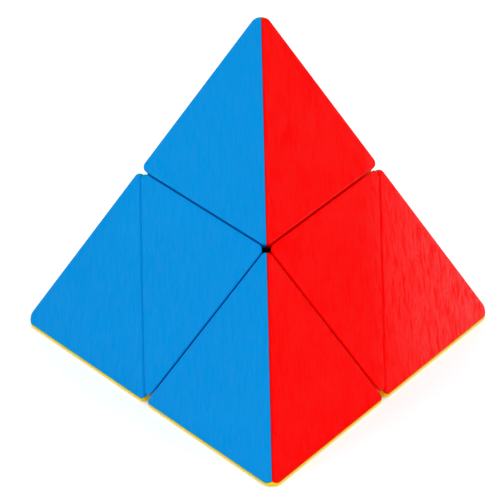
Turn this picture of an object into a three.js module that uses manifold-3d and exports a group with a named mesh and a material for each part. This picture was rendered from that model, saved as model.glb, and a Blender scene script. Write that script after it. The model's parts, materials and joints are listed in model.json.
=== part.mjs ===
// Two-layer pyramid twisty puzzle, in millimetres, +Z up.
// A regular pyramid with four equal faces stands on one face, with the origin in the middle of it.
// Three planes through the pyramid's centre cut it into four corner pieces (tips) and four face pieces.
// Each plane lets one half of the pyramid turn against the other, about a line from the centre to the
// middle of an edge, so there are six turning halves on three axes that are square to each other.
// A hidden ball holds the eight outer pieces: a core with six screws and springs, six centre caps that
// the screws hold down, and twelve inner edges that slide under the caps and over the tips' feet.
import * as THREE from "three";
import { ConvexGeometry } from "three/addons/geometries/ConvexGeometry.js";
import { mergeVertices } from "three/addons/utils/BufferGeometryUtils.js";
import Module from "manifold-3d";

const wasm = await Module();
wasm.setup();

// Outer pieces
const edgeLength = 85; // whole pyramid, between its sharp corners
const seamGap = 0.3; // between the outer pieces of two halves
const plateThickness = 2; // coloured plates that clip on the frames
const plateSeatGap = 0.05; // between a plate and its frame
const mitreGap = 0.1; // between two plates of one tip
const edgeRound = 0.4; // radius along a tip's edges
const faceEdgeRound = 0.25; // radius along a face plate's edges
const cornerCut = 0.6; // how far a tip's corners are cut back where four pieces meet
const faceCornerCut = 1; // the same for a face plate's points
const baseOverlap = 0.35; // the base's plates reach this far round the pyramid's bottom edges
const tipCut = 1.6; // how far each tip is cut back along its edges
const frameWall = 1.4; // walls of the hollow frames
const floorThickness = 1.2; // of a face frame, between its plate and the ball
const noseLength = 19; // solid nose of a tip frame, from the pyramid's sharp corner
const columnRadius = 2.8; // from the ball to the nose, inside a tip frame
const pegRadius = 1.1; // tip plates' pegs, which stand inside the frames' walls
const pegLength = 2; // of the pegs, and of the tabs under the face plates
const pegClearance = 0.3;
const pegInset = 12; // of a tip plate's two pegs, along its seam from the pyramid's edges
const magnetRadius = 1.2; // discs set in the cut walls
const magnetThickness = 1;
const magnetClearance = 0.1;

// Hidden ball
const ballGap = 0.35; // between the ball and the frames round it
const slideGap = 0.35; // between neighbouring pieces of the ball
const layerGap = 0.3; // between the ball's two layers, and between the lower one and the core
const coreRadius = 6; // to the ends of the core's six posts
const coreBodyRadius = 4.7; // round middle of the core
const postRadius = 2.4;
const upperAngle = THREE.MathUtils.degToRad(62.5); // half-angle of a turning half's cone, upper layer
const footAngle = THREE.MathUtils.degToRad(71); // the same in the lower layer, so that feet are trapped

// Screws and springs
const shankRadius = 1;
const shankEnd = 2.2; // from the pyramid's centre to a screw's point
const threadClearance = 0.05; // between a shank and its post
const shankClearance = 0.3; // between a shank and the centre cap that turns on it
const headRadius = 2.1;
const headHeight = 1.2;
const headSink = 0.4; // of a screw's head under the ball's surface
const headClearance = 0.3; // round a head and its spring
const driverSlot = 0.5; // width of the cross in a head
const driverLength = 3; // of each of the cross's two slots
const driverDepth = 0.6;
const wireRadius = 0.2;
const springTurns = 3;
const springSeat = 0.05; // between a spring's ends and what it presses on

// Facets
const ballSegments = 16;
const roundSegments = 10;
const wireSides = 4;
const stepsPerTurn = 7;

// Sizes that follow
const pyramidHeight = edgeLength * Math.sqrt(2 / 3);
const centreHeight = pyramidHeight / 4;
const faceDistance = centreHeight; // the centre is equally far from all four faces
const reach = edgeLength / Math.sqrt(8); // from the centre to the middle of an edge
const wallAt = seamGap / 2; // a piece's cut walls stand this far from the cutting planes
const plateSeat = plateThickness + plateSeatGap;
const recessRadius = faceDistance - plateSeat - floorThickness;
const ballRadius = recessRadius - ballGap;
const layerRadius = (coreRadius + ballRadius) / 2; // between the ball's lower and upper layers
const headTop = ballRadius - headSink;
const headBottom = headTop - headHeight;
const springFloor = layerRadius; // bottom of the pocket for a spring and a head
const springRadius = (shankRadius + shankClearance + headRadius + headClearance) / 2;
const pocketRadius = headRadius + headClearance;
const magnetCircle = recessRadius + frameWall + magnetRadius + magnetClearance;
const farAway = 2 * edgeLength;
const flatness = Math.cos(Math.PI / ballSegments) ** 2; // share of a faceted ball's radius left mid-facet
const neckTop = (layerRadius + layerGap) / flatness;
const neckBottom = layerRadius - layerGap;

const colours = {
  blue: 0x0194e4,
  red: 0xf5101a,
  yellow: 0xf0d21c,
  green: 0x14a44a,
};

const X = new THREE.Vector3(1, 0, 0);
const Y = new THREE.Vector3(0, 1, 0);
const Z = new THREE.Vector3(0, 0, 1);
const DIAGONAL = new THREE.Vector3(1, 1, 1).normalize();

// ---- solids -------------------------------------------------------------------------------------

function solidFrom(geometry) {
  geometry.deleteAttribute("normal");
  geometry.deleteAttribute("uv");
  const merged = mergeVertices(geometry);
  return new wasm.Manifold(
    new wasm.Mesh({
      numProp: 3,
      vertProperties: merged.attributes.position.array,
      triVerts: new Uint32Array(merged.index.array),
    }),
  );
}

function geometryFrom(solid) {
  const { vertProperties, triVerts } = solid.getMesh();
  const geometry = new THREE.BufferGeometry();
  geometry.setAttribute("position", new THREE.BufferAttribute(vertProperties, 3));
  geometry.setIndex(new THREE.BufferAttribute(triVerts, 1));
  return geometry;
}

const joined = (solids) => solids.reduce((sum, solid) => sum.add(solid));
const common = (solids) => solids.reduce((sum, solid) => sum.intersect(solid));

// A ball whose facets stay inside the radius.
function ball(radius) {
  return solidFrom(new THREE.SphereGeometry(radius, ballSegments, ballSegments / 2));
}

// The room for a ball: its facets stay outside the radius.
const roomFor = (radius) => ball(radius / flatness);

// The cylinder about the line from the centre along a direction, between two distances from the centre.
function cylinder(direction, radius, start, end) {
  const geometry = new THREE.CylinderGeometry(radius, radius, end - start, roundSegments);
  geometry.translate(0, (start + end) / 2, 0);
  geometry.applyQuaternion(new THREE.Quaternion().setFromUnitVectors(Y, direction));
  return solidFrom(geometry);
}

// Everything beyond a plane that lies square to a direction at a distance from the centre.
function beyond(direction, distance) {
  const geometry = new THREE.BoxGeometry(farAway, farAway, farAway);
  geometry.translate(0, farAway / 2 + distance, 0);
  geometry.applyQuaternion(new THREE.Quaternion().setFromUnitVectors(Y, direction));
  return solidFrom(geometry);
}

// The cone that a turning half sweeps inside the ball, moved along its axis so that its side lies
// offset further in.
function cone(direction, halfAngle, offset) {
  const height = 2 * ballRadius;
  const geometry = new THREE.ConeGeometry(height * Math.tan(halfAngle), height, ballSegments);
  geometry.translate(0, -height / 2 - offset / Math.sin(halfAngle), 0);
  const down = Y.clone().negate();
  geometry.applyQuaternion(new THREE.Quaternion().setFromUnitVectors(down, direction));
  return solidFrom(geometry);
}

function hull(points) {
  return solidFrom(new ConvexGeometry(points));
}

// The points of a small ball that touches the cut walls' and the faces' directions exactly, so that
// the hull of several such balls has true flats and rounded edges.
function roundingBall(centre, radius) {
  const points = [];
  for (const x of [-1, 0, 1]) {
    for (const y of [-1, 0, 1]) {
      for (const z of [-1, 0, 1]) {
        const direction = new THREE.Vector3(x, y, z);
        if (direction.length() > 0) points.push(direction.setLength(radius).add(centre));
      }
    }
  }
  return points;
}

// Calls a function with each third of a turn about the diagonal, which takes X to Y, Y to Z and Z to X.
function threeTimes(make) {
  return [0, 1, 2].map((third) =>
    make(new THREE.Quaternion().setFromAxisAngle(DIAGONAL, (third * 2 * Math.PI) / 3)),
  );
}

// ---- hidden ball --------------------------------------------------------------------------------

// What a piece of the ball is at one layer: inside some halves' cones and outside others'.
function wedge(inside, outside, halfAngle) {
  const room = common(inside.map((direction) => cone(direction, halfAngle, slideGap / 2)));
  if (outside.length === 0) return room;
  return room.subtract(joined(outside.map((direction) => cone(direction, halfAngle, -slideGap / 2))));
}

// A piece of the ball: a wide upper part, a neck, and a foot of another width in the lower layer.
function ballPiece(inside, outside, topRadius) {
  const upper = wedge(inside, outside, upperAngle);
  const foot = wedge(inside, outside, footAngle);
  const between = (inner, outer) => ball(outer).subtract(roomFor(inner));
  return joined([
    upper.intersect(between(layerRadius + layerGap / 2, topRadius)),
    foot.intersect(between(coreRadius + layerGap, layerRadius - layerGap / 2)),
    upper.intersect(foot).intersect(ball(neckTop).subtract(ball(neckBottom))),
  ]);
}

const opposite = (direction) => direction.clone().negate();
const sixDirections = [X, Y, Z].flatMap((axis) => [axis, opposite(axis)]);

function makeCore() {
  const postEnd = Math.sqrt(coreRadius ** 2 - postRadius ** 2);
  const posts = sixDirections.map((direction) => cylinder(direction, postRadius, 0, postEnd));
  const holes = sixDirections.map((direction) =>
    cylinder(direction, shankRadius + threadClearance, shankEnd - threadClearance, farAway),
  );
  return ball(coreBodyRadius).add(joined(posts)).subtract(joined(holes));
}

// The centre cap on the +X axis: its hub turns on the screw, and its pocket holds spring and head.
function makeCentre() {
  const cap = ballPiece([X], [Y, opposite(Y), Z, opposite(Z)], ballRadius);
  const shankHole = cylinder(X, shankRadius + shankClearance, 0, farAway);
  const pocket = cylinder(X, pocketRadius, springFloor, farAway);
  return cap.subtract(shankHole).subtract(pocket);
}

function makeInnerEdge() {
  return ballPiece([X, Y], [Z, opposite(Z)], ballRadius);
}

function makeScrew() {
  const shank = cylinder(X, shankRadius, shankEnd, headTop - headHeight / 2);
  const head = cylinder(X, headRadius, headBottom, headTop);
  const slots = [0, Math.PI / 2].map((turn) => {
    const slot = new THREE.BoxGeometry(2 * driverDepth, driverSlot, driverLength);
    slot.rotateX(turn).translate(headTop, 0, 0);
    return solidFrom(slot);
  });
  return shank.add(head).subtract(joined(slots));
}

class SpringLine extends THREE.Curve {
  getPoint(share, target = new THREE.Vector3()) {
    const angle = share * springTurns * 2 * Math.PI;
    const start = springFloor + springSeat + wireRadius;
    const end = headBottom - springSeat - wireRadius;
    return target.set(
      THREE.MathUtils.lerp(start, end, share),
      springRadius * Math.cos(angle),
      springRadius * Math.sin(angle),
    );
  }
}

function makeSpring() {
  const section = new THREE.Shape();
  for (let side = 0; side < wireSides; side += 1) {
    const angle = (side / wireSides) * 2 * Math.PI;
    const corner = [wireRadius * Math.cos(angle), wireRadius * Math.sin(angle)];
    if (side === 0) section.moveTo(...corner);
    else section.lineTo(...corner);
  }
  return solidFrom(
    new THREE.ExtrudeGeometry(section, {
      extrudePath: new SpringLine(),
      steps: springTurns * stepsPerTurn,
      bevelEnabled: false,
    }),
  );
}

// ---- outer pieces -------------------------------------------------------------------------------
// Every outer piece is made in the octant where x, y and z are positive, and placed by turning it.

const faceOfTip = new THREE.Vector3(-1, 1, 1).normalize(); // the face whose seam lies in the plane x = 0
const alongSeam = new THREE.Vector3(0, 1, -1).normalize();
const towardsTip = new THREE.Vector3(2, 1, 1).normalize();

// The foot and stalk of an outer piece, which join it to the ball.
function makeRoot() {
  return ballPiece([X, Y, Z], [], recessRadius / flatness + frameWall / 2);
}

// The pockets for the three magnets of an outer piece, one in each cut wall.
function magnetPockets() {
  const radius = magnetRadius + magnetClearance;
  const depth = magnetThickness + magnetClearance;
  return joined(
    threeTimes((turned) => {
      const geometry = new THREE.CylinderGeometry(radius, radius, 2 * depth, roundSegments);
      geometry.rotateZ(Math.PI / 2);
      geometry.translate(wallAt, magnetCircle / Math.SQRT2, magnetCircle / Math.SQRT2);
      geometry.applyQuaternion(turned);
      return solidFrom(geometry);
    }),
  );
}

// The space inside a frame's three cut walls, or what fits between them with a clearance.
function insideWalls(clearance) {
  const start = wallAt + frameWall + clearance;
  const room = new THREE.BoxGeometry(farAway, farAway, farAway);
  room.translate(farAway / 2 + start, farAway / 2 + start, farAway / 2 + start);
  return solidFrom(room);
}

// A frame: walls along the cuts and round the ball, open towards the plates, with its root. What is
// kept stays solid.
function framed(body, kept) {
  const hollow = insideWalls(0).subtract(roomFor(recessRadius + frameWall)).subtract(kept);
  const walls = body.subtract(roomFor(recessRadius)).subtract(hollow);
  return walls.subtract(magnetPockets()).add(makeRoot());
}

const axisPoint = (axis, along, aside) =>
  new THREE.Vector3(aside, aside, aside).addScaledVector(axis, along - aside);

function makeTipFrame() {
  const end = reach - Math.sqrt(3) * plateSeat;
  const body = hull([
    new THREE.Vector3(wallAt, wallAt, wallAt),
    new THREE.Vector3(end, end, end),
    ...[X, Y, Z].map((axis) => axisPoint(axis, end, wallAt)),
  ]);
  const nose = beyond(DIAGONAL, Math.sqrt(3) * reach - noseLength);
  const column = cylinder(DIAGONAL, columnRadius, recessRadius, Math.sqrt(3) * reach - noseLength / 2);
  return framed(body, nose.add(column));
}

// The outside of a whole tip, as if it were one solid with rounded edges.
function makeTipOutside() {
  const inset = wallAt + edgeRound;
  const end = reach - Math.sqrt(3) * edgeRound;
  const corner = new THREE.Vector3(end, end, end);
  return hull([
    new THREE.Vector3(wallAt, wallAt, wallAt),
    ...[X, Y, Z].flatMap((axis) => {
      const middle = axisPoint(axis, end, inset);
      const alongEdge = new THREE.Vector3(1, 1, 1).sub(axis).normalize();
      const ways = [alongEdge, ...seamsFrom(axis)];
      return [
        ...ways.flatMap((way) => cutBack(middle, way, cornerCut, edgeRound)),
        ...cutBack(corner, alongEdge, -tipCut, edgeRound),
      ];
    }),
  ]);
}

// The directions of the two seams that leave the middle of an edge.
function seamsFrom(axis) {
  return [X, Y, Z].filter((other) => other !== axis).map((other) => other.clone().sub(axis).normalize());
}

// A rounding ball moved along an edge, away from the corner where it would be.
function cutBack(corner, way, distance, radius) {
  return roundingBall(corner.clone().addScaledVector(way, distance), radius);
}

// The plate of a tip on one face, mitred against the tip's other two plates. A mitre can be moved
// towards the plate, which makes it smaller.
function makeTipPlate(mitreMoves) {
  const mitres = [Y, Z].map((axis, index) =>
    beyond(axis.clone().sub(X).normalize(), mitreMoves[index] + mitreGap / 2),
  );
  const layer = beyond(faceOfTip, faceDistance - plateThickness);
  const plate = common([tipOutside, layer, ...mitres]);
  return joined([plate, tipPeg(-1), tipPeg(1)]);
}

// A peg on either side of a tip plate's middle line, clear of the wall of its seam.
function tipPeg(side) {
  const wallSlope = towardsTip.x;
  const clearOfWall = wallAt + frameWall + pegClearance + pegRadius * wallSlope;
  const distance = (clearOfWall + plateThickness * faceOfTip.x) / wallSlope;
  const foot = new THREE.Vector3(0, reach / 2, reach / 2)
    .addScaledVector(towardsTip, distance)
    .addScaledVector(alongSeam, side * (edgeLength / 4 - pegInset));
  return peg(foot, faceOfTip);
}

// A peg under the point of a face, from inside the plate to its end.
function peg(facePoint, normal) {
  const length = plateThickness / 2 + pegLength;
  const geometry = new THREE.CylinderGeometry(pegRadius, pegRadius, length, roundSegments);
  geometry.applyQuaternion(new THREE.Quaternion().setFromUnitVectors(Y, normal));
  const middle = facePoint.clone().addScaledVector(normal, -plateThickness / 2 - length / 2);
  geometry.translate(middle.x, middle.y, middle.z);
  return solidFrom(geometry);
}

// A face piece is made under a face that lies square to the diagonal.
const faceNormal = DIAGONAL;

function makeFaceFrame() {
  const end = reach - Math.sqrt(3) * plateSeat - 2 * wallAt;
  const body = hull([
    new THREE.Vector3(wallAt, wallAt, wallAt),
    ...[X, Y, Z].map((axis) => axisPoint(axis, end, wallAt)),
  ]);
  return framed(body, roomFor(recessRadius + frameWall));
}

function makeFacePlate() {
  const inset = wallAt + faceEdgeRound;
  const end = reach - Math.sqrt(3) * faceEdgeRound - 2 * inset;
  const outside = hull([
    new THREE.Vector3(wallAt, wallAt, wallAt),
    ...[X, Y, Z].flatMap((axis) =>
      seamsFrom(axis).flatMap((way) =>
        cutBack(axisPoint(axis, end, inset), way, faceCornerCut, faceEdgeRound),
      ),
    ),
  ]);
  const plate = outside.intersect(beyond(faceNormal, faceDistance - plateThickness));
  return plate.add(faceTabs());
}

// The tabs under a face plate, which fill the mouths of its frame's three pockets.
function faceTabs() {
  const start = faceDistance - plateThickness - pegLength;
  const wallOutside = (recessRadius + frameWall) / flatness + pegClearance;
  const roundBall = cylinder(faceNormal, Math.sqrt(wallOutside ** 2 - start ** 2), 0, farAway);
  const end = faceDistance - plateThickness / 2;
  const layer = cylinder(faceNormal, edgeLength / 2, start, end);
  return insideWalls(pegClearance).intersect(layer).subtract(roundBall);
}

// ---- the assembly -------------------------------------------------------------------------------
// The six turning halves, each named after the edge of the pyramid in its middle.
const halves = {
  front: X,
  rear_base: opposite(X),
  right: Y,
  left_base: opposite(Y),
  left: Z,
  right_base: opposite(Z),
};

const tips = { apex: null, front: X, right: Y, left: Z }; // each a half turn of the apex about an axis

const faces = [
  { name: "base", colour: "yellow", halfTurn: null, normal: new THREE.Vector3(-1, -1, -1) },
  { name: "back", colour: "green", halfTurn: X, normal: new THREE.Vector3(-1, 1, 1) },
  { name: "left", colour: "blue", halfTurn: Y, normal: new THREE.Vector3(1, -1, 1) },
  { name: "right", colour: "red", halfTurn: Z, normal: new THREE.Vector3(1, 1, -1) },
];

function halfTurnAbout(axis) {
  const turn = new THREE.Quaternion();
  return axis ? turn.setFromAxisAngle(axis, Math.PI) : turn;
}

const finishes = {
  frame: { color: 0x1a1a1c, roughness: 0.55, metalness: 0 },
  inner: { color: 0x2b2b2e, roughness: 0.4, metalness: 0 },
  core: { color: 0xe9e7e0, roughness: 0.4, metalness: 0 },
  screw: { color: 0x9a9a98, roughness: 0.35, metalness: 1 },
  spring: { color: 0xb9bab8, roughness: 0.3, metalness: 1 },
};
for (const [name, color] of Object.entries(colours)) {
  finishes[name] = { color, roughness: 0.38, metalness: 0 };
}

const turningAxes = new THREE.Group(); // its X, Y and Z are the three turning axes

function place(name, geometry, finish, rotation = new THREE.Quaternion()) {
  const mesh = new THREE.Mesh(geometry, new THREE.MeshStandardMaterial(finishes[finish]));
  mesh.name = name;
  mesh.quaternion.copy(rotation);
  turningAxes.add(mesh);
}

place("core", geometryFrom(makeCore()), "core");

const centre = geometryFrom(makeCentre());
const screw = geometryFrom(makeScrew());
const spring = geometryFrom(makeSpring());
for (const [name, direction] of Object.entries(halves)) {
  const rotation = new THREE.Quaternion().setFromUnitVectors(X, direction);
  place(`centre_${name}`, centre, "inner", rotation);
  place(`screw_${name}`, screw, "screw", rotation);
  place(`spring_${name}`, spring, "spring", rotation);
}

const innerEdge = geometryFrom(makeInnerEdge());
const onAxis = (axis) => Object.entries(halves).filter(([, direction]) => direction.dot(axis) !== 0);
for (const [first, second] of [[X, Y], [Y, Z], [Z, X]]) {
  for (const [firstName, firstDirection] of onAxis(first)) {
    for (const [secondName, secondDirection] of onAxis(second)) {
      const third = firstDirection.clone().cross(secondDirection);
      const basis = new THREE.Matrix4().makeBasis(firstDirection, secondDirection, third);
      const rotation = new THREE.Quaternion().setFromRotationMatrix(basis);
      place(`inner_edge_${firstName}_${secondName}`, innerEdge, "inner", rotation);
    }
  }
}

const tipFrame = geometryFrom(makeTipFrame());
const tipOutside = makeTipOutside();
const neighbours = [new THREE.Vector3(1, -1, 1), new THREE.Vector3(1, 1, -1)]; // faces beyond the mitres
const baseNormal = faces.find((face) => face.name === "base").normal;

// How far a plate's mitre is moved, for the base's plates to overlap the others.
function mitreMove(plateIsBase, neighbour) {
  if (plateIsBase) return -baseOverlap;
  return neighbour.angleTo(baseNormal) < 0.1 ? baseOverlap : 0;
}

for (const [name, axis] of Object.entries(tips)) {
  const rotation = halfTurnAbout(axis);
  place(`${name}_frame`, tipFrame, "frame", rotation);
  threeTimes((third) => {
    const turned = rotation.clone().multiply(third);
    const normal = faceOfTip.clone().applyQuaternion(turned);
    const { colour, name: faceName } = faces.find((face) => face.normal.dot(normal) > 0);
    const mitreMoves = neighbours.map((neighbour) =>
      mitreMove(faceName === "base", neighbour.clone().applyQuaternion(turned)),
    );
    const plate = geometryFrom(makeTipPlate(mitreMoves));
    place(`${name}_${colour}_plate`, plate, colour, turned);
  });
}

// A face piece is symmetric, so a half turn about a line square to its diagonal takes it from the
// octant it was made in to the opposite one.
const faceFrame = geometryFrom(makeFaceFrame());
const facePlate = geometryFrom(makeFacePlate());
const toOpposite = halfTurnAbout(new THREE.Vector3(1, -1, 0).normalize());
for (const { name, colour, halfTurn } of faces) {
  const rotation = halfTurnAbout(halfTurn).multiply(toOpposite);
  place(`${name}_face_frame`, faceFrame, "frame", rotation);
  place(`${name}_face_plate`, facePlate, colour, rotation);
}

// The pyramid stands on its base face, with one corner to the front.
const apex = new THREE.Vector3(0, 0, pyramidHeight);
const baseCorner = (turns) => {
  const angle = -Math.PI / 2 + (turns * 2 * Math.PI) / 3;
  const fromMiddle = edgeLength / Math.sqrt(3);
  return new THREE.Vector3(fromMiddle * Math.cos(angle), fromMiddle * Math.sin(angle), 0);
};
const middle = new THREE.Vector3(0, 0, centreHeight);
const [frontAxis, rightAxis, leftAxis] = [0, 1, 2].map((turns) =>
  apex.clone().add(baseCorner(turns)).multiplyScalar(0.5).sub(middle).normalize(),
);
turningAxes.quaternion.setFromRotationMatrix(
  new THREE.Matrix4().makeBasis(frontAxis, rightAxis, leftAxis),
);
turningAxes.position.copy(middle);

const puzzle = new THREE.Group();
puzzle.name = "twisty_pyramid";
puzzle.add(turningAxes);

export default puzzle;
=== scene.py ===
# %% [markdown]
# # A pyramid twisty puzzle
#
# The puzzle is a regular pyramid with four equal faces, cut by three planes through its centre. Eight
# pieces show: four corner pieces with three coloured plates each, and four face pieces with one plate
# each. Inside is a small ball of sliding pieces round a core with screws and springs.
#
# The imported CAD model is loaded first. It fixes every size and place, and this lesson dresses it: it
# makes each piece again with fine rounded edges, and gives it the plastic or metal that it is made of.

# %% Load the frame
import json
import math
from itertools import product

import bmesh
import bpy
from mathutils import Matrix, Quaternion, Vector


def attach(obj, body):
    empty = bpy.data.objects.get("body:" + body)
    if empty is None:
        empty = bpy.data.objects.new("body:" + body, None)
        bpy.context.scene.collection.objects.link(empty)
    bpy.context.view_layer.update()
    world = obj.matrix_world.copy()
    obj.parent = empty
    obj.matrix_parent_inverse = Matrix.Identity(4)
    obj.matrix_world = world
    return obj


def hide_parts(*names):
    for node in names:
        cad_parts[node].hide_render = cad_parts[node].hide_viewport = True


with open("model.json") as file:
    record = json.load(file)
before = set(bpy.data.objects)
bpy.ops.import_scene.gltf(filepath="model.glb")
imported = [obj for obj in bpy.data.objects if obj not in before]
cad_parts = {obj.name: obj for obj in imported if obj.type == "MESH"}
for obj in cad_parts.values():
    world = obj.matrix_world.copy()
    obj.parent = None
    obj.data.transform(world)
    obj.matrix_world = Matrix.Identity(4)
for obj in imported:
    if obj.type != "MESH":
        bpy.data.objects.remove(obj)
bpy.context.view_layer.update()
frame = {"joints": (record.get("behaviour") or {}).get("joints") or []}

MM = 0.001

# %% [markdown]
# ## Where everything is
#
# All the turning axes cross in the pyramid's centre, and three of them are square to each other. So the
# pieces are easiest to make in a frame of their own, with those axes as X, Y and Z, and are then carried
# over with one matrix. The joints of the CAD model give the centre and the axes. The distance from the
# centre to a face is the centre's height, because the pyramid stands on a face.

# %% The turning frame
joints = {joint["name"]: joint for joint in frame["joints"]}
centre = Vector(joints["turn_front"]["pos_m"])
turning_axes = [Vector(joints[name]["axis"]) for name in ("turn_front", "turn_right", "turn_left")]
axes_in_world = Matrix(turning_axes).transposed().to_4x4()
to_world = Matrix.Translation(centre) @ axes_in_world @ Matrix.Scale(MM, 4)  # from millimetres to metres

face_distance = centre.z / MM
reach = face_distance * math.sqrt(3)  # from the centre to the middle of an edge
edge_length = reach * math.sqrt(8)
print(f"edge {edge_length:.2f} mm, centre to face {face_distance:.2f} mm")

# %% [markdown]
# ## Camera
#
# A long lens far away keeps the pyramid's edges nearly parallel, as in a catalogue picture. The camera
# looks down on it a little, from just left of the front corner.

# %% Camera
camera_azimuth = math.radians(-1.74)
camera_elevation = math.radians(23.0)
camera_roll = math.radians(-0.28)
camera_distance = 1.03  # metres
camera_lens = 423.4  # mm
camera_sensor = 36  # mm wide
camera_reach = 10  # metres
target_shift = Vector((-0.0021, 0, 0.00645))  # from the pyramid's centre to the picture's middle
camera_target = centre + target_shift

away = Vector((
    math.sin(camera_azimuth) * math.cos(camera_elevation),
    -math.cos(camera_azimuth) * math.cos(camera_elevation),
    math.sin(camera_elevation),
))
camera = bpy.data.objects.new("camera", bpy.data.cameras.new("camera"))
camera.data.lens = camera_lens
camera.data.sensor_width = camera_sensor
camera.data.clip_end = camera_reach
camera.location = camera_target + away * camera_distance
camera.rotation_euler = (away.to_track_quat("Z", "Y") @ Quaternion((0, 0, 1), camera_roll)).to_euler()
bpy.context.scene.collection.objects.link(camera)
bpy.context.scene.camera = camera
print("camera at", tuple(round(value, 3) for value in camera.location))

# %% [markdown]
# ## Floor and light
#
# The puzzle stands on a plain white sweep. Large soft lamps on both sides light the two front faces
# evenly, so their saturated plastic keeps its colour, and the white world fills the shadows. The
# standard view transform keeps saturated colours as they are, where a filmic one would wash them out.
# The paper is lit a little from below, as on a light table, so it stays white beside coloured faces.
# One small low panel at the right puts a broken shine on that face.

# %% Helpers for materials
def linear(hex_colour):
    """An sRGB hex colour as the linear RGBA values that a shader works with, by the sRGB curve."""
    def channel(start):
        value = int(hex_colour[start:start + 2], 16) / 255
        return value / 12.92 if value <= 0.04045 else ((value + 0.055) / 1.055) ** 2.4
    return (channel(1), channel(3), channel(5), 1.0)


def new_material(name):
    """An empty node material with its output, ready for nodes."""
    material = bpy.data.materials.new(name)
    material.use_nodes = True
    material.node_tree.nodes.clear()
    return material


def add_node(material, kind, settings=None, inputs=None):
    """Adds a node, sets its properties, and sets or links its inputs."""
    node = material.node_tree.nodes.new(kind)
    for key, value in (settings or {}).items():
        setattr(node, key, value)
    for key, value in (inputs or {}).items():
        if isinstance(value, bpy.types.NodeSocket):
            material.node_tree.links.new(value, node.inputs[key])
        else:
            node.inputs[key].default_value = value
    return node


def finish_material(material, shader):
    """Links a shader to the material's output."""
    add_node(material, "ShaderNodeOutputMaterial", inputs={"Surface": shader.outputs["BSDF"]})
    return material


print("white is", linear("#ffffff"))

# %% Floor
floor_half = 1.2
floor_mesh = bpy.data.meshes.new("floor")
floor_mesh.from_pydata(
    [(x * floor_half, y * floor_half, 0) for x, y in ((-1, -1), (1, -1), (1, 1), (-1, 1))],
    [],
    [(0, 1, 2, 3)],
)
floor = bpy.data.objects.new("floor", floor_mesh)
bpy.context.scene.collection.objects.link(floor)

floor_paper = new_material("white_paper_sweep")
floor_shader = add_node(floor_paper, "ShaderNodeBsdfPrincipled", inputs={
    "Base Color": linear("#ffffff"),
    "Roughness": 0.9,
    "Specular IOR Level": 0.2,
    "Emission Color": linear("#ffffff"),
    "Emission Strength": 0.12,
})
floor_mesh.materials.append(finish_material(floor_paper, floor_shader))
print("floor", 2 * floor_half, "m square")

# %% World and lamps
world = bpy.data.worlds.new("studio")
world.use_nodes = True
background = world.node_tree.nodes["Background"]
background.inputs["Color"].default_value = linear("#ffffff")
background.inputs["Strength"].default_value = 0.35
bpy.context.scene.world = world
bpy.context.scene.view_settings.view_transform = "Standard"


def softbox(name, place, size, power):
    """A square area lamp that faces the puzzle, with its place and size in metres."""
    lamp = bpy.data.objects.new(name, bpy.data.lights.new(name, "AREA"))
    lamp.data.shape = "SQUARE"
    lamp.data.size = size
    lamp.data.energy = power
    lamp.location = place
    lamp.rotation_euler = (lamp.location - centre).to_track_quat("Z", "Y").to_euler()
    bpy.context.scene.collection.objects.link(lamp)
    return lamp


softbox("left_softbox", place=(-0.7, -0.5, 0.5), size=0.6, power=2.55)
softbox("right_softbox", place=(0.7, -0.5, 0.5), size=0.6, power=2.4)
softbox("top_softbox", place=(0, 0.1, 1.2), size=1.2, power=9.0)
softbox("low_side_panel", place=(0.32, 0.15, 0.05), size=0.08, power=0.02)

# %% [markdown]
# ## Building blocks
#
# A moulded plate has flat faces and a fine radius along every outer edge. A Bevel modifier can round
# the edges of a box well, but the cuts between two plates run through the middle of such a rounding.
# So the outside is made as the convex hull of small balls, one at each corner: the hull's flats touch
# the balls, its edges are round by themselves, and a plane can then cut it anywhere.

# %% Balls, hulls and cuts
X_AXIS, Y_AXIS, Z_AXIS = Vector((1, 0, 0)), Vector((0, 1, 0)), Vector((0, 0, 1))
AXES = (X_AXIS, Y_AXIS, Z_AXIS)
ONES = Vector((1, 1, 1))
DIAGONAL = ONES.normalized()
round_steps = 4  # facets per eighth of a turn on rounded edges
same_plane = math.radians(0.3)  # triangles that differ by less belong to one flat face


def rounding_ball(place, radius):
    """Points of a ball, with some in the exact directions of all the faces and cuts."""
    steps = range(-round_steps, round_steps + 1)
    grid = (Vector(point) for point in product(steps, repeat=3))
    outside = (point for point in grid if max(abs(value) for value in point) == round_steps)
    return [place + point.normalized() * radius for point in outside]


def hull(points):
    """The convex hull of some points, with its flat triangles joined into whole faces."""
    shape = bmesh.new()
    for point in points:
        shape.verts.new(point)
    made = bmesh.ops.convex_hull(shape, input=shape.verts)
    inner = [item for item in made["geom_interior"] if isinstance(item, bmesh.types.BMVert)]
    bmesh.ops.delete(shape, geom=inner, context="VERTS")
    bmesh.ops.dissolve_limit(
        shape, angle_limit=same_plane, verts=shape.verts, edges=shape.edges,
    )
    return shape


def cut(shape, direction, distance):
    """Cuts away what is not beyond a plane square to a direction, and closes the cut."""
    everything = shape.verts[:] + shape.edges[:] + shape.faces[:]
    made = bmesh.ops.bisect_plane(
        shape, geom=everything, plane_co=direction * distance, plane_no=direction, clear_inner=True,
    )
    rim = [item for item in made["geom_cut"] if isinstance(item, bmesh.types.BMEdge)]
    bmesh.ops.holes_fill(shape, edges=rim)
    return shape


def as_object(shape, name="tool"):
    """A bmesh as an object in the scene."""
    bmesh.ops.recalc_face_normals(shape, faces=shape.faces)
    mesh = bpy.data.meshes.new(name)
    shape.to_mesh(mesh)
    shape.free()
    made = bpy.data.objects.new(name, mesh)
    bpy.context.scene.collection.objects.link(made)
    return made


print("points on a rounding ball:", len(rounding_ball(Vector(), 1)))

# %% Turned shapes
turned_segments = 48
ball_segments = 64


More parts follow.
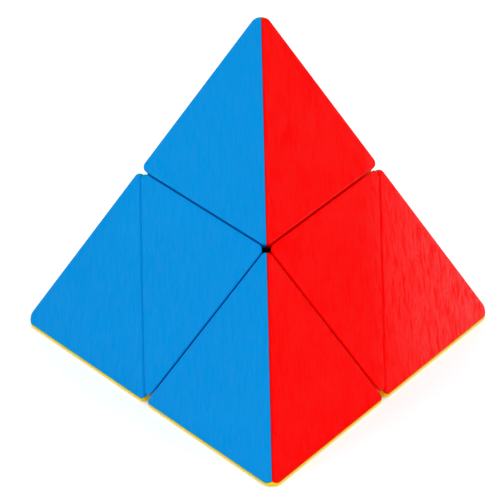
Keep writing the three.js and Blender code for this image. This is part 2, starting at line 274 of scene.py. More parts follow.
def turned(profile, direction=X_AXIS, segments=turned_segments):
    """A closed solid of revolution from (along, radius) points, about a direction from the centre."""
    shape = bmesh.new()
    to_direction = direction.to_track_quat("Z", "Y")
    rings = []
    for along, radius in profile:
        if radius == 0:
            rings.append([shape.verts.new(to_direction @ Vector((0, 0, along)))])
            continue
        angles = [2 * math.pi * step / segments for step in range(segments)]
        points = [Vector((radius * math.cos(a), radius * math.sin(a), along)) for a in angles]
        rings.append([shape.verts.new(to_direction @ point) for point in points])
    for lower, upper in zip(rings, rings[1:]):
        for step in range(segments):
            after = (step + 1) % segments
            corners = [
                lower[step % len(lower)], lower[after % len(lower)],
                upper[after % len(upper)], upper[step % len(upper)],
            ]
            shape.faces.new(list(dict.fromkeys(corners)))
    return as_object(shape)


def ball(radius):
    """A fine ball round the centre."""
    steps = ball_segments // 2
    angles = [math.pi * step / steps for step in range(steps + 1)]
    profile = [(-radius * math.cos(angle), radius * math.sin(angle)) for angle in angles]
    profile[0], profile[-1] = (-radius, 0), (radius, 0)
    return turned(profile, Z_AXIS, ball_segments)


def rod(direction, radius, start, end):
    """A plain cylinder between two distances from the centre."""
    return turned([(start, 0), (start, radius), (end, radius), (end, 0)], direction)


print("facets of a ball:", ball_segments * ball_segments // 2)

# %% [markdown]
# Solids are joined and cut with the Boolean modifier. Its manifold solver is quick and leaves closed
# meshes. Each tool object is used once and then removed, so only finished pieces stay in the scene.

# %% Joining and cutting solids
def combine(base, tool, operation):
    """Applies a boolean of one object with another, and removes the other."""
    modifier = base.modifiers.new("boolean", "BOOLEAN")
    modifier.solver = "MANIFOLD"
    modifier.operation = operation
    modifier.object = tool
    bpy.context.view_layer.update()
    whole = base.evaluated_get(bpy.context.evaluated_depsgraph_get())
    result = bpy.data.meshes.new_from_object(whole)
    base.modifiers.remove(modifier)
    base.data = result
    bpy.data.objects.remove(tool)
    return base


def with_added(base, *tools):
    """Joins tools to a base."""
    for tool in tools:
        combine(base, tool, "UNION")
    return base


def without(base, *tools):
    """Cuts tools out of a base."""
    for tool in tools:
        combine(base, tool, "DIFFERENCE")
    return base


def inside_of(base, *tools):
    """Keeps what a base shares with each tool."""
    for tool in tools:
        combine(base, tool, "INTERSECT")
    return base


washer = without(rod(X_AXIS, 2, 0, 1), rod(X_AXIS, 1, -1, 2))
print("a washer made this way has", len(washer.data.polygons), "faces")
bpy.data.objects.remove(washer)

# %% [markdown]
# ## The sizes that the pieces share
#
# These are the CAD model's sizes in millimetres, because the pieces made here have to fit in the same
# places. The pyramid's own size came from the frame above, and the layers follow inwards from a face:
# plate, frame, ball, core. A size that only one piece needs comes with that piece.

# %% Shared sizes in millimetres
seam_gap = 0.3  # between the outer pieces of two halves
plate_thickness = 2.0
plate_seat_gap = 0.05  # between a plate and its frame
floor_thickness = 1.2  # of a face frame, over the ball
frame_wall = 1.4
ball_gap = 0.35  # between the frames and the ball

wall_at = seam_gap / 2
plate_seat = plate_thickness + plate_seat_gap
recess_radius = face_distance - plate_seat - floor_thickness
ball_radius = recess_radius - ball_gap
far_away = 2 * edge_length
print(f"ball radius {ball_radius:.2f} mm, recess radius {recess_radius:.2f} mm")

# %% [markdown]
# ## Placing the pieces
#
# Each shape is made once, in the octant where X, Y and Z are positive. The puzzle's symmetry does the
# rest: a half turn about one of the three axes takes the top corner to another corner, and a third of a
# turn about the diagonal takes one plate of a corner to the next. The names, bodies and colours come
# from small tables, so that the loops can find which CAD node a piece stands for.

# %% Turns and tables
def half_turn(axis):
    """Half a turn about an axis, or none at all."""
    return Matrix.Rotation(math.pi, 4, axis) if axis else Matrix.Identity(4)


third_turns = [Matrix.Rotation(step * 2 * math.pi / 3, 4, DIAGONAL) for step in range(3)]
to_opposite = half_turn(Vector((1, -1, 0)).normalized())
sharp_angle = math.radians(38)  # edges sharper than this keep their crease

halves = {
    "front": X_AXIS, "rear_base": -X_AXIS,
    "right": Y_AXIS, "left_base": -Y_AXIS,
    "left": Z_AXIS, "right_base": -Z_AXIS,
}
tips = {"apex": None, "front": X_AXIS, "right": Y_AXIS, "left": Z_AXIS}
faces = {
    "base": ("yellow", None, Vector((-1, -1, -1))),
    "back": ("green", X_AXIS, Vector((-1, 1, 1))),
    "left": ("blue", Y_AXIS, Vector((1, -1, 1))),
    "right": ("red", Z_AXIS, Vector((1, 1, -1))),
}


def place(shape, name, turn, body, slot, material, node=None):
    """Copies a shape to where it belongs, in metres, and makes it ride with its body."""
    mesh = shape.data.copy()
    mesh.name = name
    mesh.transform(to_world @ turn)
    mesh.materials.clear()
    mesh.materials.append(material)
    mesh.shade_smooth()
    mesh.set_sharp_from_angle(angle=sharp_angle)
    piece = bpy.data.objects.new(name, mesh)
    bpy.context.scene.collection.objects.link(piece)
    flat_faces = piece.modifiers.new("flat_faces", "WEIGHTED_NORMAL")
    flat_faces.keep_sharp = True
    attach(piece, body)
    if node:
        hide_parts(node)
    return piece


print("tips:", list(tips), "faces:", list(faces))

# %% [markdown]
# ## Coloured ABS
#
# The plates are injection-moulded ABS, coloured all through. ABS has an IOR of about 1.54 and comes
# out of a lightly blasted mould with a satin skin, a little translucent. Flow marks catch the light:
# thin slanted streaks where the skin copied the mould more closely, so they are glossier. On the red
# plates the streaks grow stronger towards one side, which is a painted sheen where the lamps'
# reflection falls. The pattern is noise, stretched along the flow, that drives the gloss, the
# roughness and a shallow bump. A finer grain lies over it.

# %% ABS material
flow_width = 0.75 * MM
flow_length = 3.2 * MM
grain_width = 0.28 * MM  # real blasting is finer still, drawn as coarse as it needs to show
grain_length = 1.2 * MM
grain_depth = 0.012 * MM
cloud_size = 30 * MM
painted_sheen_width = 36 * MM  # over which the gloss grows, from the middle of a face to its side; on the red plates this is a painted sheen where the lamps' reflection falls
flow_slant = math.radians(25)
usual_noise = (0.3, 0.7)  # nearly all of a noise lies between these
streak_noise = (0.37, 0.64)  # the flow noise where a streak begins, and where it is full
streak_gloss = (0.15, 1.0)  # share of the gloss between the streaks, and in them
flow_roughness = 0.05  # streaks are this much smoother than the rest, and the gaps this much rougher


def stretched_noise(material, place_on_face, across, along, detail):
    """Noise stretched along the flow on a face."""
    scaled = add_node(material, "ShaderNodeVectorMath", {"operation": "MULTIPLY"}, {
        0: place_on_face,
        1: (1 / across, 1 / along, 1 / across),
    })
    return add_node(material, "ShaderNodeTexNoise", inputs={
        "Vector": scaled.outputs["Vector"],
        "Scale": 1.0,
        "Detail": detail,
        "Distortion": 0.9,
    }).outputs["Fac"]


def map_range(material, value, source, target):
    """Maps one range of values to another, and clamps it there."""
    return add_node(material, "ShaderNodeMapRange", inputs={
        "Value": value,
        "From Min": source[0],
        "From Max": source[1],
        "To Min": target[0],
        "To Max": target[1],
    }).outputs["Result"]


def moulded_abs(name, deep, pale, normal, slant, roughness, flow_depth, gloss):
    """Moulded ABS for one face's plates, with a flow depth in millimetres and two values of gloss.

    The first gloss holds up to the middle of the face, and the second at its far side; where they
    differ, the ramp is a painted sheen where the lamps' reflection falls.
    """
    material = new_material(name)
    outwards = (axes_in_world.to_3x3() @ normal).normalized()
    level = Z_AXIS.cross(outwards)
    level = level.normalized() if level.length > 0.01 else X_AXIS.copy()  # the base has no slope
    level.rotate(Quaternion(outwards, slant))
    to_face = Matrix((level, outwards.cross(level), outwards))
    where = add_node(material, "ShaderNodeTexCoord")
    on_face = add_node(material, "ShaderNodeMapping", inputs={
        "Vector": where.outputs["Object"],
        "Rotation": to_face.to_euler(),
    }).outputs["Vector"]
    flow = stretched_noise(material, on_face, flow_width, flow_length, 2.0)
    grain = stretched_noise(material, on_face, grain_width, grain_length, 1.0)
    clouds = stretched_noise(material, on_face, cloud_size, cloud_size, 2.0)

    colour = add_node(material, "ShaderNodeMix", {"data_type": "RGBA"}, {
        "Factor": clouds,
        "A": linear(deep),
        "B": linear(pale),
    })
    sideways = add_node(material, "ShaderNodeSeparateXYZ", inputs={"Vector": on_face}).outputs["X"]
    # painted sheen: the gloss ramps up across the face towards the side where the lamps' reflection
    # falls
    painted_sheen = map_range(material, sideways, (0, painted_sheen_width), gloss)
    streaks = map_range(material, flow, streak_noise, streak_gloss)
    uneven = map_range(
        material, flow, usual_noise, (roughness + flow_roughness, roughness - flow_roughness),
    )
    shine = add_node(material, "ShaderNodeMath", {"operation": "MULTIPLY"}, {0: painted_sheen, 1: streaks})
    waves = add_node(material, "ShaderNodeBump", inputs={
        "Height": flow,
        "Distance": flow_depth * MM,
        "Strength": 1.0,
    })
    skin = add_node(material, "ShaderNodeBump", inputs={
        "Height": grain,
        "Distance": grain_depth,
        "Strength": 1.0,
        "Normal": waves.outputs["Normal"],
    })
    shader = add_node(material, "ShaderNodeBsdfPrincipled", inputs={
        "Base Color": colour.outputs["Result"],
        "Roughness": uneven,
        "IOR": 1.54,
        "Specular IOR Level": shine.outputs["Value"],
        "Subsurface Weight": 0.15,
        "Subsurface Radius": (1.0, 1.0, 1.0),
        "Subsurface Scale": 0.6 * MM,
        "Normal": skin.outputs["Normal"],
    })
    return finish_material(material, shader)


plate_materials = {
    "blue": moulded_abs(
        "blue_moulded_abs", deep="#008ddc", pale="#0094e2", normal=faces["left"][2],
        slant=flow_slant, roughness=0.5, flow_depth=0.01, gloss=(0.04, 0.04),
    ),
    # the red plates' gloss ramps from 0.02 to 0.22 across the face: a painted sheen where the lamps'
    # reflection falls
    "red": moulded_abs(
        "red_moulded_abs", deep="#fb0000", pale="#ff0804", normal=faces["right"][2],
        slant=-flow_slant, roughness=0.32, flow_depth=0.02, gloss=(0.02, 0.22),
    ),
    "yellow": moulded_abs(
        "yellow_moulded_abs", deep="#f2d21a", pale="#f7da2c", normal=faces["base"][2],
        slant=flow_slant, roughness=0.45, flow_depth=0.015, gloss=(0.1, 0.1),
    ),
    "green": moulded_abs(
        "green_moulded_abs", deep="#12a046", pale="#1cab50", normal=faces["back"][2],
        slant=flow_slant, roughness=0.45, flow_depth=0.015, gloss=(0.1, 0.1),
    ),
}
print("plate materials:", sorted(plate_materials))

# %% [markdown]
# ## Hidden plastics and metals
#
# The frames behind the plates are black ABS. The ball's sliding pieces are dark acetal, a waxy and
# slippery plastic, and the core is undyed nylon, a warm translucent white. Screws are zinc-plated
# steel, springs are drawn steel wire, and the magnets are nickel-plated discs.

# %% Plain plastics and metals
def plain_finish(name, colour, metallic, roughness, spread, grain, depth, subsurface=0.0):
    """A plastic or metal with a fine even grain, its size and depth in millimetres."""
    material = new_material(name)
    where = add_node(material, "ShaderNodeTexCoord")
    noise = add_node(material, "ShaderNodeTexNoise", inputs={
        "Vector": where.outputs["Object"],
        "Scale": 1 / (grain * MM),
        "Detail": 3.0,
    })
    uneven = map_range(
        material, noise.outputs["Fac"], usual_noise, (roughness - spread, roughness + spread),
    )
    skin = add_node(material, "ShaderNodeBump", inputs={
        "Height": noise.outputs["Fac"],
        "Distance": depth * MM,
        "Strength": 1.0,
    })
    settings = {
        "Base Color": linear(colour),
        "Metallic": metallic,
        "Roughness": uneven,
        "Normal": skin.outputs["Normal"],
    }
    if subsurface:
        settings["Subsurface Weight"] = subsurface
        settings["Subsurface Radius"] = (1.0, 0.9, 0.7)
        settings["Subsurface Scale"] = 0.5 * MM
    return finish_material(material, add_node(material, "ShaderNodeBsdfPrincipled", inputs=settings))


black_abs = plain_finish(
    "black_moulded_abs", "#1b1b1d", metallic=0, roughness=0.48, spread=0.06, grain=0.3, depth=0.008,
)
dark_acetal = plain_finish(
    "dark_acetal", "#2c2d31", metallic=0, roughness=0.33, spread=0.05, grain=0.5, depth=0.004,
)
white_nylon = plain_finish(
    "undyed_nylon", "#ece8dc", metallic=0, roughness=0.42, spread=0.05, grain=0.4, depth=0.006,
    subsurface=0.3,
)
zinc_steel = plain_finish(
    "zinc_plated_steel", "#b9bab6", metallic=1, roughness=0.32, spread=0.08, grain=0.25, depth=0.004,
)
spring_wire = plain_finish(
    "drawn_spring_steel", "#a8a8a6", metallic=1, roughness=0.26, spread=0.06, grain=0.12, depth=0.003,
)
nickel = plain_finish(
    "nickel_plated_magnet", "#cfccc4", metallic=1, roughness=0.16, spread=0.04, grain=0.6, depth=0.002,
)
print("materials:", len(bpy.data.materials))

# %% [markdown]
# ## The corner plates
#
# A corner of the pyramid has three plates that meet in mitres along its edges. The outside is the hull
# of small balls placed along arcs, so that each plate's outline turns its corners in a smooth curve,
# and the three curves leave a small flat at the blunted tip. Planes then cut the plate's underside and
# its two mitres. The base's plates reach a little further round the bottom edges than the others, which
# shows as a thin yellow line there. Two pegs under each plate stand inside the frame's wall.

# %% Sizes of the plates' edges and pegs
seam_reach = 0.04  # how much further than the frames the plates reach into the seams
mitre_gap = 0.1  # between two plates of one corner
base_overlap = 0.35  # how far the base's plates reach round the bottom edges
edge_round = 0.47  # along a corner piece's edges, and inside the CAD model's facets
tip_arc = 1.38  # radius of a plate's outline at the pyramid's corners
mid_arc = 0.52  # and where four pieces meet
arc_steps = 4  # on either side of such an arc's middle
peg_radius = 1.1
peg_length = 2.0
peg_clearance = 0.3
peg_lead_in = 0.25
peg_inset = 12.0  # from the ends of a corner piece's seam
peg_segments = 32
halfway_round = 0.3  # share of a radius that is gone halfway round a corner

plate_wall_at = wall_at - seam_reach
print(f"visible seams {2 * plate_wall_at:.2f} mm wide")

# %% Rounded corners
face_of_tip = Vector((-1, 1, 1)).normalized()  # the face whose seam lies in the plane x = 0
along_seam = Vector((0, 1, -1)).normalized()
towards_tip = Vector((2, 1, 1)).normalized()
half_arc = math.radians(60)  # half the turn of an arc that blunts a corner of 60 degrees


def on_axis(axis, along, aside):
    """A point some way along one axis, and a little way along the two others."""
    return ONES * aside + axis * (along - aside)


def rounded_corner(corner, first, second, arc_radius, rounding):
    """Rounding balls along the arc that blunts a corner of 60 degrees between two edges."""
    halfway = (first + second).normalized()
    sideways = (first - second).normalized()
    arc_centre = corner + halfway * arc_radius / math.cos(half_arc)
    points = []
    for step in range(-arc_steps, arc_steps + 1):
        angle = half_arc * step / arc_steps
        out = sideways * math.sin(angle) - halfway * math.cos(angle)
        points += rounding_ball(arc_centre + out * arc_radius, rounding)
    return points


def tip_outside():
    """The outside of a corner piece, with rounded edges and corners."""
    inset = plate_wall_at + edge_round
    end = reach - math.sqrt(3) * edge_round
    points = [ONES * plate_wall_at]
    for axis in AXES:
        corner = on_axis(axis, end, inset)
        along_edge = (ONES - axis).normalized()
        others = [other for other in AXES if other != axis]
        for other in others:
            along_cut = (other - axis).normalized()
            points += rounded_corner(corner, along_edge, along_cut, mid_arc, edge_round)
        back_along_edges = [(other - ONES).normalized() for other in others]
        points += rounded_corner(ONES * end, *back_along_edges, tip_arc, edge_round)
    return hull(points)


print("balls along an arc:", 2 * arc_steps + 1)


# %% Pegs under a corner plate
def peg(face_point, normal):
    """A peg with a rounded end, from inside a plate to below it."""
    length = plate_thickness / 2 + peg_length
    halfway = peg_lead_in * halfway_round
    made = turned([
        (0, 0), (0, peg_radius), (length - peg_lead_in, peg_radius),
        (length - halfway, peg_radius - halfway), (length, peg_radius - peg_lead_in), (length, 0),
    ], -normal, peg_segments)
    made.data.transform(Matrix.Translation(face_point - normal * plate_thickness / 2))
    return made


def tip_peg(side):
    """One of the two pegs of a corner plate, as near to the seam as the frame's wall lets it."""
    wall_slope = towards_tip.x
    clear_of_wall = wall_at + frame_wall + peg_clearance + peg_radius * wall_slope
    distance = (clear_of_wall + plate_thickness * face_of_tip.x) / wall_slope
    middle = Vector((0, reach / 2, reach / 2)) + towards_tip * distance
    return peg(middle + along_seam * side * (edge_length / 4 - peg_inset), face_of_tip)


print("pegs stand out", peg_length, "mm")


# %% Corner plate
def tip_plate(mitre_moves):
    """One plate, with its two mitres moved towards it by some distances."""
    shape = tip_outside()
    cut(shape, face_of_tip, face_distance - plate_thickness)
    for axis, move in zip((Y_AXIS, Z_AXIS), mitre_moves):
        cut(shape, (axis - X_AXIS).normalized(), move + mitre_gap / 2)
    return with_added(as_object(shape, "tip_plate"), tip_peg(-1), tip_peg(1))


def mitre_move(plate_face, neighbour_face):
    """How far the mitre between two plates moves, so that the base's plate reaches further."""
    if plate_face == "base":
        return -base_overlap
    return base_overlap if neighbour_face == "base" else 0.0


print("beside the base, mitres move by", {face: mitre_move(face, "base") for face in faces})


# %% Place the corner plates
def face_towards(direction):
    """The name of the face that looks in a direction."""
    return next(face for face, (_, _, normal) in faces.items() if normal.dot(direction) > 0)


tip_plates = {}
for tip, axis in tips.items():
    for third in third_turns:
        turn = half_turn(axis) @ third
        face, *neighbours = [
            face_towards(turn.to_3x3() @ normal)
            for normal in (face_of_tip, Vector((1, -1, 1)), Vector((1, 1, -1)))
        ]
        moves = tuple(mitre_move(face, neighbour) for neighbour in neighbours)
        if moves not in tip_plates:
            tip_plates[moves] = tip_plate(moves)
        colour = faces[face][0]
        node = f"{tip}_{colour}_plate"
        place(
            tip_plates[moves], f"abs_{node}", turn, f"{tip}_tip", f"{colour}_plastic",
            plate_materials[colour], node,
        )
shapes_used = list(tip_plates.values())
print("corner plates placed:", len(tips) * len(third_turns), "of", len(tip_plates), "shapes")

# %% [markdown]
# ## The face plates
#
# Each face has one three-sided plate in its middle. Its sides lean inwards, because the cutting planes
# meet the face at an acute angle, and its three points are cut back by their own rounding. That is what
# leaves the small dark square where four pieces meet in the middle of an edge. Three tabs under the
# plate fill the mouths of the pockets in its frame.

# %% Face plate
face_edge_round = 0.25  # along a face plate's edges
face_arc = 0.87  # radius of its outline at its points
cad_segments = 16
cad_flatness = math.cos(math.pi / cad_segments) ** 2  # share of a faceted ball's radius left mid-facet


def face_outside():
    """The outside of a face plate, with its leaning sides."""
    inset = plate_wall_at + face_edge_round
    end = reach - math.sqrt(3) * face_edge_round - 2 * inset
    points = [ONES * plate_wall_at]
    for axis in AXES:
        along_seams = [(other - axis).normalized() for other in AXES if other != axis]
        points += rounded_corner(on_axis(axis, end, inset), *along_seams, face_arc, face_edge_round)
    return hull(points)


def inside_walls(clearance):
    """The space between a frame's three cut walls, as a big box."""
    start = wall_at + frame_wall + clearance
    shape = bmesh.new()
    bmesh.ops.create_cube(shape, size=far_away)
    bmesh.ops.translate(shape, verts=shape.verts, vec=ONES * (start + far_away / 2))
    return as_object(shape)


def face_tabs():
    """Three tabs that fill the mouths of the frame's pockets."""
    start = face_distance - plate_thickness - peg_length
    wall_outside = (recess_radius + frame_wall) / cad_flatness + peg_clearance
    round_ball = rod(DIAGONAL, math.sqrt(wall_outside ** 2 - start ** 2), 0, far_away)
    layer = rod(DIAGONAL, edge_length / 2, start, face_distance - plate_thickness / 2)
    return without(inside_of(inside_walls(peg_clearance), layer), round_ball)


face_shape = cut(face_outside(), DIAGONAL, face_distance - plate_thickness)
face_plate = with_added(as_object(face_shape, "face_plate"), face_tabs())
for face, (colour, axis, _) in faces.items():
    node = f"{face}_face_plate"
    place(
        face_plate, f"abs_{node}", half_turn(axis) @ to_opposite, f"{face}_face",
        f"{colour}_plastic", plate_materials[colour], node,
    )
print("face plate:", len(face_plate.data.polygons), "faces")

# %% [markdown]
# ## The sliding ball
#
# Behind the plates is a ball of sliding pieces in two layers. Cones round the turning axes cut both
# layers, and the lower cones are wider, so that each outer piece's foot is trapped under its
# neighbours. One recipe makes every piece: the cones that it is inside, less the cones that it is
# outside, in an upper layer, a lower layer and the neck that joins them.

# %% Cones and layers
slide_gap = 0.35  # between two sliding pieces
layer_gap = 0.3  # between the layers
core_radius = 6.0  # to the ends of the core's posts
upper_angle = math.radians(62.5)
foot_angle = math.radians(71)

layer_radius = (core_radius + ball_radius) / 2
cone_length = 1.5 * recess_radius  # past everything that a cone cuts
cone_segments = 96


def cone(direction, half_angle, offset):
    """A cone from the centre, moved along its axis so that its side shifts by an offset."""
    start = offset / math.sin(half_angle)
    end = start + cone_length
    wide_end = (end, cone_length * math.tan(half_angle))
    return turned([(start, 0), wide_end, (end, 0)], direction, cone_segments)


def wedge(base, inside, outside, half_angle):
    """Keeps what is inside some cones and outside others, with half the sliding gap at each."""
    base = inside_of(base, *[cone(way, half_angle, slide_gap / 2) for way in inside])
    return without(base, *[cone(way, half_angle, -slide_gap / 2) for way in outside])


def shell(inner, outer):
    """The space between two balls."""
    return without(ball(outer), ball(inner))


def ball_piece(inside, outside, top_radius):
    """A piece of the ball: its upper layer, its foot and the neck between them."""
    upper = wedge(shell(layer_radius + layer_gap / 2, top_radius), inside, outside, upper_angle)
    foot = wedge(
        shell(core_radius + layer_gap, layer_radius - layer_gap / 2), inside, outside, foot_angle,
    )
    neck = shell(layer_radius - layer_gap, layer_radius + layer_gap)
    neck = wedge(wedge(neck, inside, outside, upper_angle), inside, outside, foot_angle)
    return with_added(upper, foot, neck)


print(f"the layers meet {layer_radius:.2f} mm from the centre")


# %% Place the inner edges
def in_line_with(axis):
    """The two halves that turn about an axis, with their directions."""
    return [(name, way) for name, way in halves.items() if abs(way.dot(axis)) > 0.5]


def basis(first, second):
    """The turn that takes X to one direction and Y to another."""
    return Matrix((first, second, first.cross(second))).transposed().to_4x4()


edge_shape = ball_piece([X_AXIS, Y_AXIS], [Z_AXIS, -Z_AXIS], ball_radius)
for first_axis, second_axis in ((X_AXIS, Y_AXIS), (Y_AXIS, Z_AXIS), (Z_AXIS, X_AXIS)):
    for (first, first_way), (second, second_way) in product(
        in_line_with(first_axis), in_line_with(second_axis),
    ):
        node = f"inner_edge_{first}_{second}"
        place(
            edge_shape, f"acetal_{node}", basis(first_way, second_way), node,
            "inner_nylon", dark_acetal, node,
        )
shapes_used.append(edge_shape)
print("inner edge:", len(edge_shape.data.polygons), "faces")

# %% [markdown]
# ## Centre caps, screws and springs
#
# Each half of the puzzle turns on a centre cap. A screw goes through the cap into a post of the core,
# and a spring under the screw's head presses the cap down, which sets how tight the turning feels. The
# screws are pan heads with a cross recess and a rolled thread, M2 with a pitch of 0.4 mm. The springs
# are coiled wire, with their coils a little closer together at both ends.

# %% Centre caps and core
shank_radius = 1.0
shank_end = 2.2  # from the pyramid's centre
shank_clearance = 0.3
thread_clearance = 0.05
head_radius = 2.1
head_height = 1.2
head_sink = 0.4  # below the ball's surface
head_clearance = 0.3
core_body_radius = 4.7
post_radius = 2.4
post_lead_in = 0.2
past_end = 1  # how far a cutting rod sticks out of what it cuts

head_top = ball_radius - head_sink
head_bottom = head_top - head_height
spring_floor = layer_radius
screw_room = ball_radius + past_end
centre_shape = ball_piece([X_AXIS], [Y_AXIS, -Y_AXIS, Z_AXIS, -Z_AXIS], ball_radius)
centre_shape = without(
    centre_shape,
    rod(X_AXIS, shank_radius + shank_clearance, shank_end, screw_room),
    rod(X_AXIS, head_radius + head_clearance, spring_floor, screw_room),
)
post_end = math.sqrt(core_radius ** 2 - post_radius ** 2)
core_shape = ball(core_body_radius)
post_profile = [
    (0, 0), (0, post_radius), (post_end - post_lead_in, post_radius),
    (post_end, post_radius - post_lead_in), (post_end, 0),
]
hole_radius = shank_radius + thread_clearance
hole_end = shank_end - thread_clearance
for way in halves.values():
    core_shape = with_added(core_shape, turned(post_profile, way))
for way in halves.values():
    core_shape = without(core_shape, rod(way, hole_radius, hole_end, core_radius + past_end))
place(core_shape, "nylon_core", half_turn(None), "core", "core_nylon", white_nylon, "core")
print("core:", len(core_shape.data.polygons), "faces, screw heads at", round(head_bottom, 2), "mm")


# %% Screws
thread_pitch = 0.4
thread_depth = 0.2
thread_end = core_radius
rings_per_turn = 6
screw_sides = 24
screw_tip_radius = 0.55 * shank_radius
head_edge = 0.08  # the small slope under the head's rim
dome_height = 0.35
dome_profile = ((2, 1), (1, 0.95), (0.3, 0.8), (0.08, 0.55))  # shares of its height and the radius
driver_slot = 0.5
driver_depth = 0.6
driver_length = 3.0


def thread_radius(along, angle):
    """The shank's radius, with a groove that climbs once per pitch and runs out towards the head."""
    phase = (along / thread_pitch - angle / (2 * math.pi)) % 1
    fade = min(1, (thread_end - along) / thread_pitch)
    return shank_radius - thread_depth * abs(2 * phase - 1) * fade


def screw_rings():
    """The screw's outline from its tip to its head, as distances and radii that depend on an angle."""
    count = round((thread_end - shank_end) / thread_pitch * rings_per_turn)
    rings = [(shank_end, lambda angle: screw_tip_radius)]
    for step in range(1, count + 1):
        along = shank_end + (thread_end - shank_end) * step / count
        rings.append((along, lambda angle, along=along: thread_radius(along, angle)))
    head = [
        (head_bottom, shank_radius), (head_bottom, head_radius - head_edge),
        (head_bottom + head_edge, head_radius),
        *[(head_top - down * dome_height, share * head_radius) for down, share in dome_profile],
    ]
    return rings + [(along, lambda angle, radius=radius: radius) for along, radius in head]


def join_loops(shape, loops):
    """Joins loops of vertices into a tube with closed ends."""
    for lower, upper in zip(loops, loops[1:]):
        for step in range(len(lower)):
            after = (step + 1) % len(lower)
            shape.faces.new((lower[step], lower[after], upper[after], upper[step]))
    shape.faces.new(loops[0])
    shape.faces.new(loops[-1])


def make_screw():
    """A pan-head screw along X: a threaded shank, a plain neck and a domed head with a recess."""
    shape = bmesh.new()
    angles = [2 * math.pi * step / screw_sides for step in range(screw_sides)]
    join_loops(shape, [
        [shape.verts.new((along, r(a) * math.cos(a), r(a) * math.sin(a))) for a in angles]
        for along, r in screw_rings()
    ])
    screw = as_object(shape, "screw")
    for turn in (0, math.pi / 2):
        slot = bmesh.new()
        bmesh.ops.create_cube(slot, size=1)
        size = Matrix.Diagonal((2 * driver_depth, driver_slot, driver_length, 1))
        move = Matrix.Translation((head_top, 0, 0)) @ Matrix.Rotation(turn, 4, X_AXIS)
        bmesh.ops.transform(slot, matrix=move @ size, verts=slot.verts)
        screw = without(screw, as_object(slot))
    return screw


screw_shape = make_screw()
print("screw:", len(screw_shape.data.polygons), "faces")

# %% Springs
wire_radius = 0.2
spring_turns = 3
spring_seat = 0.05  # between the spring and what it presses on
end_closing = 0.3  # how much closer together the end coils are
spring_radius = (shank_radius + shank_clearance + head_radius + head_clearance) / 2
wire_sides = 10
coil_steps = 32


def make_spring():
    """A coil spring along X, with its end coils closer together."""
    first = spring_floor + spring_seat + wire_radius
    last = head_bottom - spring_seat - wire_radius
    count = spring_turns * coil_steps
    shape = bmesh.new()
    loops = []
    for step in range(count + 1):
        share = step / count
        smooth = share * share * (3 - 2 * share)
        eased = (1 - end_closing) * share + end_closing * smooth
        angle = share * spring_turns * 2 * math.pi
        outwards = Vector((0, math.cos(angle), math.sin(angle)))
        middle = X_AXIS * (first + (last - first) * eased) + outwards * spring_radius
        loops.append([
            shape.verts.new(middle + wire_radius * (outwards * math.cos(a) + X_AXIS * math.sin(a)))
            for a in (2 * math.pi * side / wire_sides for side in range(wire_sides))
        ])
    join_loops(shape, loops)
    return as_object(shape, "spring")


spring_shape = make_spring()
print("spring:", len(spring_shape.data.polygons), "faces")

# %% Place the centre caps, screws and springs
for half, way in halves.items():
    beside = next(axis for axis in AXES if abs(axis.dot(way)) < 0.5)
    turn = basis(way, beside)
    place(
        centre_shape, f"acetal_centre_{half}", turn, f"centre_{half}",
        "inner_nylon", dark_acetal, f"centre_{half}",
    )
    place(screw_shape, f"steel_screw_{half}", turn, "core", "screw_steel", zinc_steel, f"screw_{half}")
    place(
        spring_shape, f"steel_spring_{half}", turn, "core",
        "spring_steel", spring_wire, f"spring_{half}",
    )
shapes_used += [core_shape, centre_shape, screw_shape, spring_shape]
print("centre caps, screws and springs:", 3 * len(halves))

# %% [markdown]
# ## Frames and magnets
#
# The frame of an outer piece is what the plates clip on. It is hollow: three thin cut walls and a cup
# that fits round the ball, with a solid nose and a column in a corner piece. Its root goes down into
# the ball and ends in the foot. Each cut wall has a pocket for a small disc magnet, which clicks the
# halves into line.

# %% Frames
nose_length = 19.0  # solid nose of a corner's frame
column_radius = 2.8
magnet_radius = 1.2
magnet_thickness = 1.0
magnet_clearance = 0.1
magnet_edge = 0.1
disc_segments = 32

magnet_circle = recess_radius + frame_wall + magnet_radius + magnet_clearance


def magnet_place(third):
    """Where a magnet sits in one of the three cut walls, as a turn and a shift along X."""
    aside = magnet_circle / math.sqrt(2)
    return third @ Matrix.Translation((wall_at, aside, aside))


def disc(radius, start, end, edge=0):
    """A disc across X, with its rims cut back a little if an edge is given."""
    rim = [(start, radius), (end, radius)]
    if edge:
        rim = [
            (start, radius - edge), (start + edge, radius), (end - edge, radius), (end, radius - edge),
        ]
    return turned([(start, 0), *rim, (end, 0)], X_AXIS, disc_segments)


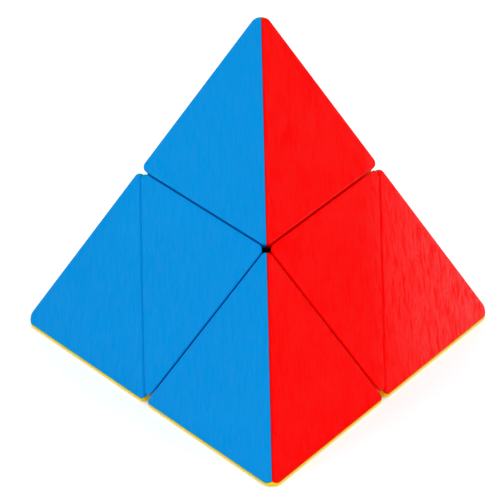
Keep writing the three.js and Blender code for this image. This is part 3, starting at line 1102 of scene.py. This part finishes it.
def framed(body, *kept):
    """Hollows out a body, and adds its foot in the ball and its magnets' pockets."""
    hollow = without(inside_walls(0), ball(recess_radius + frame_wall), *kept)
    body = without(body, ball(recess_radius), hollow)
    for third in third_turns:
        pocket = disc(magnet_radius + magnet_clearance, -wall_at, magnet_thickness + magnet_clearance)
        pocket.data.transform(magnet_place(third))
        body = without(body, pocket)
    return with_added(body, ball_piece(AXES, [], recess_radius + frame_wall / 2))


def frame_corners(end):
    """The corners of a frame: one at the pyramid's centre and three at its outer ends."""
    return [ONES * wall_at, *[on_axis(axis, end, wall_at) for axis in AXES]]


tip_end = reach - math.sqrt(3) * plate_seat  # so the frame's flats lie just under the plates
nose_start = math.sqrt(3) * reach - nose_length
tip_frame = framed(
    as_object(hull([*frame_corners(tip_end), ONES * tip_end])),
    rod(DIAGONAL, edge_length / 2, nose_start, far_away),
    rod(DIAGONAL, column_radius, 0, far_away),
)
face_frame = framed(as_object(hull(frame_corners(tip_end - 2 * wall_at))))
print("frames:", len(tip_frame.data.polygons), "and", len(face_frame.data.polygons), "faces")

# %% Place the frames and magnets
magnet_start = magnet_clearance / 2
magnet = disc(magnet_radius, magnet_start, magnet_start + magnet_thickness, magnet_edge)
outer_pieces = [
    *[(f"{tip}_tip", f"{tip}_frame", half_turn(axis), tip_frame) for tip, axis in tips.items()],
    *[
        (f"{face}_face", f"{face}_face_frame", half_turn(axis) @ to_opposite, face_frame)
        for face, (_, axis, _) in faces.items()
    ],
]
for body, node, turn, shape in outer_pieces:
    place(shape, f"abs_{node}", turn, body, "frame_black", black_abs, node)
    for number, third in enumerate(third_turns):
        where = turn @ magnet_place(third)
        place(magnet, f"magnet_{body}_{number}", where, body, "screw_steel", nickel)
shapes_used += [tip_frame, face_frame, face_plate, magnet]
print("frames placed:", len(outer_pieces), "magnets:", len(outer_pieces) * len(third_turns))

# %% [markdown]
# ## Finish
#
# The shapes that were copied into place are removed.

# %% Remove the copied shapes
for shape in shapes_used:
    bpy.data.objects.remove(shape)
